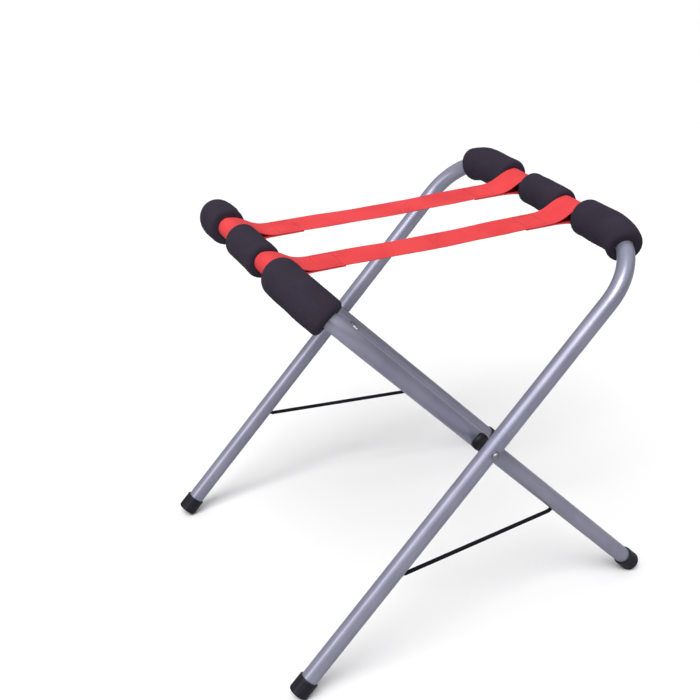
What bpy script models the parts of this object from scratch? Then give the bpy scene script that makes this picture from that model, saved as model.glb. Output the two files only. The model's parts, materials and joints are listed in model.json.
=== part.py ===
"""Folding strap rack: two U-shaped tube frames that cross in an X, joined by
two pivot bolts, with foam sleeves on the bars, two webbing straps across the
top and two side cords that stop the frames from spreading.

World frame: metres, +Z up, the floor at Z = 0. The pivot axis runs along Y
above the origin. The outer (wider) frame has its bar at +X and its feet at -X,
and the inner frame is the other way round.
"""

import math

import bmesh
import bpy
from mathutils import Matrix, Vector

# ------------------------------------------------------------ driving sizes (m)

TUBE_OD = 0.0254
TUBE_WALL = 0.0015
LEG_ABOVE = 0.346  # pivot axis to the centre of the bar
LEG_BELOW = 0.433  # pivot axis to the end of the foot cap
LEAN = math.radians(43.6)  # each leg from upright, when open
OUTER_HALF = 0.250  # middle plane to the outer frame's leg centreline
BEND_RADIUS = 0.090
GAP = 0.0003  # between pieces that touch on the real rack

LEG_SPACE = 0.0146  # between the crossing legs, filled by two saddles
SADDLE_OD = 0.0250
SADDLE_HUG = 0.0045  # how far a saddle reaches round its tube
SADDLE_WAIST_OD = 0.019  # the narrow part, where the two saddles turn on each other
SADDLE_WAIST_LENGTH = 0.0022
BOLT_D = 0.006
BOLT_HOLE_CLEARANCE = 0.0008  # on the diameter
BOLT_HEAD_D = 0.0125
BOLT_HEAD_HEIGHT = 0.0048
BOLT_TAIL = 0.015  # thread that shows past the nut
WASHER_D = 0.0135
WASHER_THICKNESS = 0.0012
NUT_ACROSS_CORNERS = 0.0115
NUT_HEIGHT = 0.006

CAP_WALL = 0.002
CAP_LENGTH = 0.027
CAP_FLOOR = 0.004
CAP_EDGE = 0.003  # rounding of the cap's lower edge
CAP_LIP = 0.001  # rounding of the cap's mouth
CAP_FLAT = 0.0008  # worn flat where the cap stands on the floor

END_FOAM_OD = 0.055
END_FOAM_LENGTH = 0.116  # along the tube, round the bend
MIDDLE_FOAM_OD = 0.049
FOAM_STRAP_CLEARANCE = 0.0006  # between a strap's edge and the foams beside it

STRAP_WIDTH = 0.0508
STRAP_THICKNESS = 0.0018
STRAP_TO_BEND = 0.0226  # from a strap's edge to the start of the inner frame's bend
STRAP_SEAM = 0.057  # bar centre to where the loop closes
STRAP_DROP = 0.005  # the band hangs this far below the middle of the bars
STRAP_OVERLAP = 0.040  # length of the sewn double layer
STRAP_END_LINK = 0.036  # half of the bight that hangs lowest when folded

CORD_D = 0.006
CORD_HOLE_CLEARANCE = 0.0012  # on the diameter
CORD_BELOW_PIVOT = 0.210
CORD_KNOT_D = 0.0105
CORD_HINGE_CLEARANCE = 0.0034  # the cord's bending point, off the tube
CORD_START_CLEARANCE = 0.0007  # where the free cord starts, past the bending point

TUBE_SIDES_RESOLUTION = 6  # a curve's bevel resolution: 4 + 2 * 6 = 16 sides
BEND_STEPS = 7
ROUND_SIDES = 24
BOLT_SIDES = 16

# ------------------------------------------------------------ worked-out sizes

TUBE_R = TUBE_OD / 2
LEG_STEP = TUBE_OD + LEG_SPACE  # from one leg's centreline to the other's
INNER_HALF = OUTER_HALF - LEG_STEP
BOLT_HOLE_D = BOLT_D + BOLT_HOLE_CLEARANCE
CORD_HOLE_D = CORD_D + CORD_HOLE_CLEARANCE
CORD_END_LINK = LEG_STEP / 2  # half of the cord's lowest stretch when folded
CAP_OD = TUBE_OD + 2 * (GAP + CAP_WALL)
STRAP_CENTRE = INNER_HALF - BEND_RADIUS - STRAP_TO_BEND - STRAP_WIDTH / 2
MIDDLE_FOAM_HALF = STRAP_CENTRE - STRAP_WIDTH / 2 - FOAM_STRAP_CLEARANCE
END_FOAM_START = STRAP_CENTRE + STRAP_WIDTH / 2 + FOAM_STRAP_CLEARANCE
EDGE_CENTRE = CAP_OD / 2 - CAP_EDGE
PIVOT_HEIGHT = (
    (LEG_BELOW - CAP_EDGE) * math.cos(LEAN)
    + EDGE_CENTRE * math.sin(LEAN)
    + CAP_EDGE
    - CAP_FLAT
)
BAR_X = LEG_ABOVE * math.sin(LEAN)
BAR_HEIGHT = PIVOT_HEIGHT + LEG_ABOVE * math.cos(LEAN)
NEAR, FAR = -1, 1
SIDES = {"near": NEAR, "far": FAR}


# ------------------------------------------------------------ scene and colours


def clear_scene():
    for item in list(bpy.data.objects):
        bpy.data.objects.remove(item, do_unlink=True)


def make_material(name, colour, roughness, metallic=0.0):
    material = bpy.data.materials.new(name)
    material.use_nodes = True
    shader = material.node_tree.nodes["Principled BSDF"]
    shader.inputs["Base Color"].default_value = (*colour, 1.0)
    shader.inputs["Roughness"].default_value = roughness
    shader.inputs["Metallic"].default_value = metallic
    material.diffuse_color = (*colour, 1.0)
    return material


def make_collection(name):
    collection = bpy.data.collections.new(name)
    bpy.context.scene.collection.children.link(collection)
    return collection


clear_scene()
PARTS = make_collection("folding_strap_rack")
CUTTERS = make_collection("cutters")
PAINT = make_material("silver_paint", (0.30, 0.31, 0.38), 0.35, 0.7)
FOAM = make_material("charcoal_foam", (0.045, 0.038, 0.048), 0.95)
RUBBER = make_material("black_rubber", (0.015, 0.015, 0.02), 0.6)
NYLON = make_material("black_nylon", (0.012, 0.012, 0.014), 0.45)
WEBBING = make_material("red_webbing", (0.80, 0.06, 0.06), 0.8)
ROPE = make_material("black_cord", (0.01, 0.01, 0.011), 0.8)
STEEL = make_material("zinc_plated_steel", (0.60, 0.60, 0.60), 0.3, 1.0)


# ------------------------------------------------------------ object helpers


def add_part(name, data, material, parent=None, matrix=None):
    """One node: its mesh or curve data, its finish, and its place on its parent."""
    part = bpy.data.objects.new(name, data)
    data.materials.append(material)
    PARTS.objects.link(part)
    part.parent = parent
    part.matrix_basis = matrix or Matrix.Identity(4)
    return part


def add_empty(name, matrix):
    empty = bpy.data.objects.new(name, None)
    PARTS.objects.link(empty)
    empty.matrix_world = matrix
    return empty


def add_cutter(name, mesh, parent, matrix):
    cutter = bpy.data.objects.new(name, mesh)
    CUTTERS.objects.link(cutter)
    cutter.parent = parent
    cutter.matrix_basis = matrix
    cutter.hide_render = True
    cutter.display_type = "WIRE"
    return cutter


def cut(part, cutter):
    modifier = part.modifiers.new("cut_" + cutter.name, "BOOLEAN")
    modifier.operation = "DIFFERENCE"
    modifier.solver = "EXACT"
    modifier.object = cutter


def cylinder_mesh(name, radius, length, sides):
    """A capped cylinder along local Z, centred on its origin."""
    bm = bmesh.new()
    bmesh.ops.create_cone(
        bm,
        cap_ends=True,
        segments=sides,
        radius1=radius,
        radius2=radius,
        depth=length,
    )
    mesh = bpy.data.meshes.new(name)
    bm.to_mesh(mesh)
    bm.free()
    return mesh


def box_mesh(name, size):
    bm = bmesh.new()
    bmesh.ops.create_cube(bm, size=1.0)
    bmesh.ops.scale(bm, vec=Vector(size), verts=bm.verts)
    mesh = bpy.data.meshes.new(name)
    bm.to_mesh(mesh)
    bm.free()
    return mesh


def poly_curve(name, points, radius, resolution, caps):
    """A round bar or an open tube surface along a polyline."""
    curve = bpy.data.curves.new(name, "CURVE")
    curve.dimensions = "3D"
    curve.bevel_depth = radius
    curve.bevel_resolution = resolution
    curve.use_fill_caps = caps
    spline = curve.splines.new("POLY")
    spline.points.add(len(points) - 1)
    for point, place in zip(spline.points, points):
        point.co = (*place, 1.0)
    return curve


def flat_curve(name, outlines, length):
    """A flat outline with holes, extruded to a length along local Z."""
    curve = bpy.data.curves.new(name, "CURVE")
    curve.dimensions = "2D"
    curve.fill_mode = "BOTH"
    curve.extrude = length / 2
    for outline in outlines:
        spline = curve.splines.new("POLY")
        spline.points.add(len(outline) - 1)
        for point, (x, y) in zip(spline.points, outline):
            point.co = (x, y, 0.0, 1.0)
        spline.use_cyclic_u = True
    return curve


def circle(radius, sides):
    step = 2 * math.pi / sides
    return [
        (radius * math.cos(i * step), radius * math.sin(i * step)) for i in range(sides)
    ]


def arc(centre, radius, start, end, steps):
    """Points of an arc in a plane, both ends included, angles in radians."""
    points = []
    for i in range(steps + 1):
        angle = start + (end - start) * i / steps
        x = centre[0] + radius * math.cos(angle)
        y = centre[1] + radius * math.sin(angle)
        points.append((x, y))
    return points


def turned_part(name, profile, material, parent, matrix, ring=False):
    """A solid of revolution about local Z from (radius, height) points.

    A ring's profile is closed on itself, clear of the axis.
    """
    mesh = bpy.data.meshes.new(name)
    points = [(radius, 0.0, height) for radius, height in profile]
    edges = [(i, i + 1) for i in range(len(points) - 1)]
    if ring:
        edges.append((len(points) - 1, 0))
    mesh.from_pydata(points, edges, [])
    part = add_part(name, mesh, material, parent, matrix)
    screw = part.modifiers.new("turn", "SCREW")
    screw.axis = "Z"
    screw.steps = ROUND_SIDES
    screw.render_steps = ROUND_SIDES
    screw.use_merge_vertices = True
    screw.merge_threshold = 0.00001
    screw.use_smooth_shade = True
    return part


def tube_part(name, points, outer_r, wall, material, parent):
    """A hollow tube along a polyline: an open surface with a wall inside it."""
    curve = poly_curve(name, points, outer_r, TUBE_SIDES_RESOLUTION, False)
    guide = bpy.data.objects.new(name + "_guide", curve)
    CUTTERS.objects.link(guide)
    bpy.context.view_layer.update()
    evaluated = guide.evaluated_get(bpy.context.evaluated_depsgraph_get())
    mesh = bpy.data.meshes.new_from_object(evaluated)
    bpy.data.objects.remove(guide, do_unlink=True)
    bm = bmesh.new()
    bm.from_mesh(mesh)
    bmesh.ops.remove_doubles(bm, verts=bm.verts, dist=0.00001)
    bm.to_mesh(mesh)
    bm.free()
    mesh.name = name
    mesh.materials.clear()
    part = add_part(name, mesh, material, parent)
    solidify = part.modifiers.new("wall", "SOLIDIFY")
    solidify.thickness = wall
    solidify.offset = -1.0
    return part


# ------------------------------------------------------------ the bent tubes


def frame_path(half_width):
    """Centreline of a U frame in its own upright plane, pivot axis at the origin."""
    foot = -(LEG_BELOW - CAP_FLOOR - GAP)
    corner = half_width - BEND_RADIUS
    bend_height = LEG_ABOVE - BEND_RADIUS
    near_bend = arc(
        (-corner, bend_height), BEND_RADIUS, math.pi, math.pi / 2, BEND_STEPS
    )
    far_bend = arc((corner, bend_height), BEND_RADIUS, math.pi / 2, 0.0, BEND_STEPS)
    flat = [(-half_width, foot), *near_bend, *far_bend, (half_width, foot)]
    return [Vector((0.0, y, z)) for y, z in flat]


def stretch(path, start, end):
    """The part of a path between two lengths measured from the middle of it."""
    total = sum((b - a).length for a, b in zip(path, path[1:]))
    start += total / 2
    end += total / 2
    points = []
    travelled = 0.0
    for a, b in zip(path, path[1:]):
        step = (b - a).length
        if travelled <= start < travelled + step:
            points.append(a.lerp(b, (start - travelled) / step))
        elif start < travelled < end:
            points.append(a.copy())
        if travelled < end <= travelled + step:
            points.append(a.lerp(b, (end - travelled) / step))
        travelled += step
    return points


def bend_matrix(lean):
    """Stands a frame's own plane on the pivot axis, leaning by an angle."""
    return Matrix.Translation((0.0, 0.0, PIVOT_HEIGHT)) @ Matrix.Rotation(lean, 4, "Y")


def cap_profile():
    """Foot cap, as (radius, height): inside from the axis, over the mouth, down."""
    inner = TUBE_R + GAP
    outer = CAP_OD / 2
    mouth = arc(
        (outer - CAP_LIP, CAP_LENGTH - CAP_LIP), CAP_LIP, math.pi / 2, 0.0, 2
    )
    edge = arc((EDGE_CENTRE, CAP_EDGE), CAP_EDGE, 0.0, -math.pi / 2, 4)
    return [
        (0.0, CAP_FLOOR),
        (inner, CAP_FLOOR),
        (inner, CAP_LENGTH),
        *mouth,
        *edge,
        (0.0, 0.0),
    ]


def add_foot_cap(name, parent, side, half_width, floor_cutter):
    place = Matrix.Translation((0.0, side * half_width, -LEG_BELOW))
    cap = turned_part(name, cap_profile(), RUBBER, parent, place)
    cut(cap, floor_cutter)


def add_frame(name, lean, half_width, cord_direction):
    """A bent tube with its pivot holes, cord holes, foams and foot caps."""
    pivot = add_empty(name + "_pivot", bend_matrix(lean))
    path = frame_path(half_width)
    tube = tube_part(name, path, TUBE_R, TUBE_WALL, PAINT, pivot)
    across = Matrix.Rotation(math.pi / 2, 4, "X")
    drill = cylinder_mesh(
        name + "_drill", BOLT_HOLE_D / 2, 2 * half_width + 2 * TUBE_OD, BOLT_SIDES
    )
    cut(tube, add_cutter(name + "_pivot_drill", drill, pivot, across))
    for side_name, side in SIDES.items():
        cord_drill = cylinder_mesh(
            name + "_cord_drill", CORD_HOLE_D / 2, 2 * TUBE_R, BOLT_SIDES
        )
        place = Matrix.Translation(
            (cord_direction * TUBE_R, side * half_width, -CORD_BELOW_PIVOT)
        )
        place = place @ Matrix.Rotation(math.pi / 2, 4, "Y")
        hole = add_cutter(f"{name}_{side_name}_cord_drill", cord_drill, pivot, place)
        cut(tube, hole)
    floor = box_mesh(name + "_floor", (2.0, 2.0, 0.2))
    floor_cutter = add_cutter(
        name + "_floor_cutter", floor, None, Matrix.Translation((0.0, 0.0, -0.1))
    )
    for side_name, side in SIDES.items():
        add_foot_cap(f"{name}_{side_name}_foot", pivot, side, half_width, floor_cutter)
        ends = sorted((side * END_FOAM_START, side * (END_FOAM_START + END_FOAM_LENGTH)))
        add_foam(f"{name}_{side_name}_foam", stretch(path, *ends), END_FOAM_OD, pivot)
    middle = stretch(path, -MIDDLE_FOAM_HALF, MIDDLE_FOAM_HALF)
    add_foam(f"{name}_middle_foam", middle, MIDDLE_FOAM_OD, pivot)
    return pivot


def add_foam(name, points, outer_d, parent):
    wall = outer_d / 2 - TUBE_R - GAP
    tube_part(name, points, outer_d / 2, wall, FOAM, parent)


# ------------------------------------------------------------ pivots


def bolt_profile(length):
    """Dome-headed bolt about its axis, head seat at height 0, shank downwards."""
    head_r = BOLT_HEAD_D / 2
    dome = [
        (head_r * math.sin(i * math.pi / 10), BOLT_HEAD_HEIGHT * math.cos(i * math.pi / 10))
        for i in range(6)
    ]
    dome[-1] = (head_r, 0.0)
    chamfer = BOLT_D / 8
    return [
        *dome,
        (BOLT_D / 2, 0.0),
        (BOLT_D / 2, chamfer - length),
        (BOLT_D / 2 - chamfer, -length),
        (0.0, -length),
    ]


def ring_part(name, outline, hole_d, length, material, matrix, parent):
    hole = circle(hole_d / 2, BOLT_SIDES)
    add_part(name, flat_curve(name, [outline, hole], length), material, parent, matrix)


def add_pivot(side_name, side, parent):
    """Bolt, washers and lock nut through both legs on one side.

    Heights are measured along the bolt from the outer leg's outside, outwards.
    """
    outside = OUTER_HALF + TUBE_R
    turn = Matrix.Rotation(-side * math.pi / 2, 4, "X")
    axis = Matrix.Translation((0.0, side * outside, 0.0)) @ turn

    def at(height):
        return axis @ Matrix.Translation((0.0, 0.0, height))

    seat = WASHER_THICKNESS + 2 * GAP
    inside = -(2 * TUBE_OD + LEG_SPACE)
    inner_washer = inside - GAP - WASHER_THICKNESS / 2
    nut = inner_washer - WASHER_THICKNESS / 2 - GAP - NUT_HEIGHT / 2
    tail = nut - NUT_HEIGHT / 2 - BOLT_TAIL
    bore = BOLT_HOLE_D
    washer = circle(WASHER_D / 2, ROUND_SIDES)
    turned_part(
        f"{side_name}_pivot_bolt", bolt_profile(seat - tail), STEEL, parent, at(seat)
    )
    ring_part(
        f"{side_name}_outer_washer",
        washer,
        bore,
        WASHER_THICKNESS,
        STEEL,
        at(GAP + WASHER_THICKNESS / 2),
        parent,
    )
    ring_part(
        f"{side_name}_inner_washer",
        washer,
        bore,
        WASHER_THICKNESS,
        STEEL,
        at(inner_washer),
        parent,
    )
    ring_part(
        f"{side_name}_lock_nut",
        circle(NUT_ACROSS_CORNERS / 2, 6),
        bore,
        NUT_HEIGHT,
        STEEL,
        at(nut),
        parent,
    )


def saddle_profile():
    """(radius, height) of a saddle before its tube is cut: the waist is at height 0."""
    length = LEG_SPACE / 2 + SADDLE_HUG
    bore = BOLT_HOLE_D / 2
    waist = SADDLE_WAIST_OD / 2
    body = SADDLE_OD / 2
    return [
        (bore, length),
        (body, length),
        (body, SADDLE_WAIST_LENGTH + body - waist),
        (waist, SADDLE_WAIST_LENGTH),
        (waist, GAP / 2),
        (bore, GAP / 2),
    ]


def add_saddle(name, parent, side, half_width, towards):
    """A saddle that hugs one leg and turns against the other leg's saddle."""
    middle = side * (OUTER_HALF - LEG_STEP / 2)
    turn = Matrix.Rotation(-side * towards * math.pi / 2, 4, "X")
    place = Matrix.Translation((0.0, middle, 0.0)) @ turn
    saddle = turned_part(name, saddle_profile(), NYLON, parent, place, ring=True)
    seat_r = (TUBE_R + GAP) / math.cos(math.pi / ROUND_SIDES)
    tube = cylinder_mesh(name + "_seat", seat_r, 4 * SADDLE_OD, ROUND_SIDES)
    seat = Matrix.Translation((0.0, side * half_width, 0.0))
    cut(saddle, add_cutter(name + "_seat", tube, parent, seat))


# ------------------------------------------------------------ straps


def strap_loop_outlines(reach):
    """Side view of a strap from its bar out to a reach, bar centre at the origin.

    The webbing runs out level along -X, a little below the bar's middle. The
    loop's inside is a teardrop: an arc round the tube and two tangents to the seam.
    """
    inner_r = TUBE_R + GAP
    outer_r = inner_r + STRAP_THICKNESS
    tilt = math.asin(STRAP_DROP / STRAP_SEAM)
    slope = math.asin(inner_r / math.hypot(STRAP_SEAM, STRAP_DROP))
    opening = math.pi / 2 + slope
    upper_seam = -STRAP_SEAM - STRAP_THICKNESS * math.tan((slope + tilt) / 2)
    lower_seam = -STRAP_SEAM - STRAP_THICKNESS * math.tan((slope - tilt) / 2)
    centre = (0.0, 0.0)
    sewn_end = -STRAP_SEAM - STRAP_OVERLAP
    middle = -STRAP_DROP
    top = middle + STRAP_THICKNESS
    bottom = middle - STRAP_THICKNESS
    inside = arc(centre, inner_r, opening + tilt, tilt - opening, 18)
    outside = arc(centre, outer_r, opening + tilt, tilt - opening, 18)
    hole = [(-STRAP_SEAM, middle), *inside]
    outline = [
        (-reach, middle),
        (-reach, top),
        (upper_seam, top),
        *outside,
        (lower_seam, bottom),
        (sewn_end, bottom),
        (sewn_end, middle),
    ]
    return [outline, hole]


def strap_end_outline(length):
    """Side view of the strap's end link, hinge line at the origin, towards -X."""
    return [
        [
            (-length, 0.0),
            (-length, STRAP_THICKNESS),
            (-GAP, STRAP_THICKNESS),
            (-GAP, 0.0),
        ]
    ]


def add_strap_half(name, strap_y, side):
    """Half of a strap: its loop on one frame's bar and its end link."""
    turn = Matrix.Rotation(0.0 if side > 0 else math.pi, 4, "Z")
    upright = turn @ Matrix.Rotation(math.pi / 2, 4, "X")
    reach = BAR_X - STRAP_END_LINK
    bar = Matrix.Translation((side * BAR_X, strap_y, BAR_HEIGHT)) @ upright
    band_height = BAR_HEIGHT - STRAP_DROP
    hinge = Matrix.Translation((side * STRAP_END_LINK, strap_y, band_height)) @ upright
    loop = flat_curve(name + "_loop", strap_loop_outlines(reach), STRAP_WIDTH)
    end = flat_curve(
        name + "_end", strap_end_outline(STRAP_END_LINK - GAP / 2), STRAP_WIDTH
    )
    add_part(name + "_loop", loop, WEBBING, None, bar)
    add_part(name + "_end", end, WEBBING, None, hinge)


# ------------------------------------------------------------ side cords


def knot_profile():
    """Stopper knot inside the tube and the cord's neck out through the hole."""
    radius = CORD_KNOT_D / 2
    neck = CORD_D / 2
    neck_angle = math.acos(neck / radius)
    ball = arc((0.0, 0.0), radius, neck_angle, -math.pi / 2, 8)
    top = TUBE_R + GAP - (TUBE_R - TUBE_WALL - radius - GAP)
    ball[-1] = (0.0, -radius)
    return [(0.0, top), (neck, top), *ball]


def add_knot(name, parent, side, half_width, direction):
    """A knot just inside the tube wall, its neck pointing out of the cord hole."""
    depth = TUBE_R - TUBE_WALL - CORD_KNOT_D / 2 - GAP
    place = Matrix.Translation(
        (direction * depth, side * half_width, -CORD_BELOW_PIVOT)
    )
    place = place @ Matrix.Rotation(direction * math.pi / 2, 4, "Y")
    turned_part(name, knot_profile(), ROPE, parent, place)


def cord_exit(pivot, side, half_width, direction):
    """The cord's bending point just off the tube's face."""
    out = direction * (TUBE_R + CORD_HINGE_CLEARANCE)
    bpy.context.view_layer.update()
    return pivot.matrix_world @ Vector((out, side * half_width, -CORD_BELOW_PIVOT))


def add_cord_half(name, exit_point, middle):
    """Half of a taut side cord: a long link from the tube and a short end link."""
    run = middle - exit_point
    along = run.normalized()
    start = CORD_D / 2 + CORD_START_CLEARANCE
    joint = run.length - CORD_END_LINK
    stations = [
        (name + "_run", start, joint - GAP / 2),
        (name + "_end", joint + GAP / 2, run.length - GAP / 2),
    ]
    for link_name, begin, end in stations:
        count = max(2, round((end - begin) / (3 * CORD_D)) + 1)
        points = []
        for i in range(count):
            travelled = begin + (end - begin) * i / (count - 1)
            points.append(along * (travelled - begin))
        curve = poly_curve(link_name, points, CORD_D / 2, 2, True)
        place = Matrix.Translation(exit_point + along * begin)
        add_part(link_name, curve, ROPE, None, place)


# ------------------------------------------------------------ assembly

outer = add_frame("outer_frame", LEAN, OUTER_HALF, 1)
inner = add_frame("inner_frame", -LEAN, INNER_HALF, -1)

for side_name, side in SIDES.items():
    add_pivot(side_name, side, outer)
    add_saddle(f"{side_name}_outer_saddle", outer, side, OUTER_HALF, 1)
    add_saddle(f"{side_name}_inner_saddle", inner, side, INNER_HALF, -1)
    add_strap_half(f"{side_name}_strap_outer", side * STRAP_CENTRE, 1)
    add_strap_half(f"{side_name}_strap_inner", side * STRAP_CENTRE, -1)
    outer_exit = cord_exit(outer, side, OUTER_HALF, 1)
    inner_exit = cord_exit(inner, side, INNER_HALF, -1)
    cord_middle = (outer_exit + inner_exit) / 2
    add_knot(f"{side_name}_outer_cord_knot", outer, side, OUTER_HALF, 1)
    add_knot(f"{side_name}_inner_cord_knot", inner, side, INNER_HALF, -1)
    add_cord_half(f"{side_name}_cord_outer", outer_exit, cord_middle)
    add_cord_half(f"{side_name}_cord_inner", inner_exit, cord_middle)

for part in PARTS.objects:
    if part.type == "MESH":
        part.data.shade_smooth()
        part.data.set_sharp_from_angle(angle=math.radians(40))
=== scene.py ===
# %% [markdown]
# # A folding strap rack
# Two bent tubes cross in an X and turn on two bolts, so the rack folds flat.
# Foam sleeves keep a bag off the paint, two webbing straps carry it, and a cord
# on each side stops the legs from sliding apart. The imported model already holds
# every solid and every joint. This lesson gives each solid the surface and the
# finish of the real thing, and leaves sizes and places alone.

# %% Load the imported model
import json
import math

import bpy
import numpy as np
from mathutils import Matrix, Vector


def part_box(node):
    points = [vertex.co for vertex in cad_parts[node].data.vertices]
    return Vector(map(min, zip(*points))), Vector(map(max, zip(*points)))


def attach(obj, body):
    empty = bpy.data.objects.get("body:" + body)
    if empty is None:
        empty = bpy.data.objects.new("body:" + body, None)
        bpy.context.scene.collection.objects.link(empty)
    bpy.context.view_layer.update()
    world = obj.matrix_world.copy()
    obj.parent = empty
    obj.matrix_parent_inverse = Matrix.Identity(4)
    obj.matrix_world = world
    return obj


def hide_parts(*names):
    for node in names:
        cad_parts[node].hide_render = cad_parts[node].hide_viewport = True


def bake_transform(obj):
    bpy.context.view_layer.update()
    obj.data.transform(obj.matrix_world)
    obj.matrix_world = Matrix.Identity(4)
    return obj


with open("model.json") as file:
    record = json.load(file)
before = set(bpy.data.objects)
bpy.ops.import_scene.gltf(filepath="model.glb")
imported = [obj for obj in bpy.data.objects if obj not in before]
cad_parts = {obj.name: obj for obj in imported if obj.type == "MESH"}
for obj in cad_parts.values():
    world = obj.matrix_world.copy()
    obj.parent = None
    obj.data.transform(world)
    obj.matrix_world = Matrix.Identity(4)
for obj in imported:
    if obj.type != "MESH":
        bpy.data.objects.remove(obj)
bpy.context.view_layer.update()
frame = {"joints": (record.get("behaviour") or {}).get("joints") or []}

joints = {joint["name"]: joint for joint in frame["joints"]}

# %% [markdown]
# The joints say where the rack's own lines are: the pivot axis, the middle of
# each bar, the points where straps and cords bend. Reading them keeps this
# script in step with the model. Only sizes that no joint holds, such as the
# tube's radius, are written out here.

# %% Read the driving sizes (metres)
PIVOT_HEIGHT = joints["fold"]["pos_m"][2]
BAR_X, _, BAR_HEIGHT = joints["outer_strap_swing"]["pos_m"]
LEAN = math.atan2(BAR_X, BAR_HEIGHT - PIVOT_HEIGHT)
LEG_ABOVE = math.hypot(BAR_X, BAR_HEIGHT - PIVOT_HEIGHT)
LEG_BELOW = 0.433
BEND_RADIUS = 0.090
TUBE_R = 0.0127
GAP = 0.0003
HALF = {
    "outer": abs(joints["near_outer_cord_swing"]["pos_m"][1]),
    "inner": abs(joints["near_inner_cord_swing"]["pos_m"][1]),
}
LEANS = {"outer": LEAN, "inner": -LEAN}
FRAME_SIDE = {"outer": 1, "inner": -1}
SIDES = {"near": -1, "far": 1}
print("lean", round(math.degrees(LEAN), 2), "degrees; half widths", HALF)

# %% [markdown]
# ## Camera
# The camera comes first, because it settles what has to look right. It stands
# to the left of the rack at about eye height for somebody sitting, and looks
# down on it by some 27 degrees. Its three axes are worked out from an azimuth,
# an elevation and a small roll.

# %% Camera
CAMERA_AZIMUTH = math.radians(-24.46)
CAMERA_ELEVATION = math.radians(26.96)
CAMERA_ROLL = math.radians(-1.1)
CAMERA_PLACE = (-0.73824, -1.41521, 0.85449 + PIVOT_HEIGHT)
CAMERA_LENS = 60.37


def camera_matrix(azimuth, elevation, roll, place):
    """Columns are the camera's right, up and backward directions, and its place."""
    back = Vector(
        (
            math.sin(azimuth) * math.cos(elevation),
            -math.cos(azimuth) * math.cos(elevation),
            math.sin(elevation),
        )
    )
    right = Vector((0.0, 0.0, 1.0)).cross(back).normalized()
    up = back.cross(right)
    axes = Matrix((right, up, back)).transposed().to_4x4()
    return Matrix.Translation(place) @ axes @ Matrix.Rotation(roll, 4, "Z")


camera_data = bpy.data.cameras.new("camera")
camera_data.sensor_width = 36.0
camera_data.lens = CAMERA_LENS
camera = bpy.data.objects.new("camera", camera_data)
camera.matrix_world = camera_matrix(
    CAMERA_AZIMUTH, CAMERA_ELEVATION, CAMERA_ROLL, CAMERA_PLACE
)
bpy.context.scene.collection.objects.link(camera)
bpy.context.scene.camera = camera
print("camera at", [round(value, 3) for value in camera.location])

# %% [markdown]
# ## Light and floor
# A product shot has one large soft light high above it and a pale room that
# fills the shadows. The high light is a sun with a very wide disc: it is soft,
# and unlike a panel it is as bright at the far end of the floor as under the
# rack, so the floor stays white up to the horizon. A long panel at the left
# draws a bright line along each tube. The room is bright overhead and dark
# towards the horizon, which gives a shiny tube its dark edges, and only what the
# camera sees of it directly is white.

# %% Light
scene = bpy.context.scene
scene.view_settings.view_transform = "Standard"
SUN_STRENGTH = 2.15
ROOM_OVERHEAD = 0.62
ROOM_HORIZON = 0.16


def aimed(name, light, place, target):
    """A light at a place, facing a target point."""
    lamp = bpy.data.objects.new(name, light)
    aim = Vector(target) - Vector(place)
    lamp.rotation_euler = aim.to_track_quat("-Z", "Y").to_euler()
    lamp.location = place
    scene.collection.objects.link(lamp)
    return lamp


CENTRE = (0.0, 0.0, PIVOT_HEIGHT)
sun = bpy.data.lights.new("soft_sun", "SUN")
sun.energy = SUN_STRENGTH
sun.angle = math.radians(34)
aimed("soft_sun", sun, (-1.1, -1.3, 3.0), CENTRE)
panel = bpy.data.lights.new("long_panel", "AREA")
panel.shape = "RECTANGLE"
panel.size, panel.size_y = 0.3, 2.2
panel.energy = 11.0
aimed("long_panel", panel, (-2.2, -0.5, 1.6), CENTRE)

world = bpy.data.worlds.new("pale_room")
scene.world = world
world.use_nodes = True
room = world.node_tree.nodes["Background"]
room.inputs["Color"].default_value = (0.98, 0.985, 1.0, 1.0)
direction = world.node_tree.nodes.new("ShaderNodeTexCoord")
upward = world.node_tree.nodes.new("ShaderNodeSeparateXYZ")
rise = world.node_tree.nodes.new("ShaderNodeMapRange")
rise.interpolation_type = "SMOOTHSTEP"
rise.inputs["From Max"].default_value = 0.75
rise.inputs["To Min"].default_value = ROOM_HORIZON
rise.inputs["To Max"].default_value = ROOM_OVERHEAD
world.node_tree.links.new(direction.outputs["Generated"], upward.inputs[0])
world.node_tree.links.new(upward.outputs["Z"], rise.inputs["Value"])
world.node_tree.links.new(rise.outputs[0], room.inputs["Strength"])
backdrop = world.node_tree.nodes.new("ShaderNodeBackground")
backdrop.inputs["Color"].default_value = (1.0, 1.0, 1.0, 1.0)
seen = world.node_tree.nodes.new("ShaderNodeLightPath")
either = world.node_tree.nodes.new("ShaderNodeMixShader")
world.node_tree.links.new(seen.outputs["Is Camera Ray"], either.inputs[0])
world.node_tree.links.new(room.outputs[0], either.inputs[1])
world.node_tree.links.new(backdrop.outputs[0], either.inputs[2])
world.node_tree.links.new(
    either.outputs[0], world.node_tree.nodes["World Output"].inputs["Surface"]
)
print("a soft sun, a long panel and a pale room")

# %% [markdown]
# ## Two helpers that every piece uses
# A surface of two parameters is a grid of points. `grid_mesh` turns such a grid
# into one closed skin, as whole arrays: each cell becomes a quad, and an open
# end gets a fan of triangles round its middle. Which way round a cell runs
# decides where its normal points, so the skin's signed volume is worked out,
# and every face is turned over if it comes out negative.

# %% From a grid of points to a closed mesh
SMOOTH_ANGLE = math.radians(38)


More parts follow.
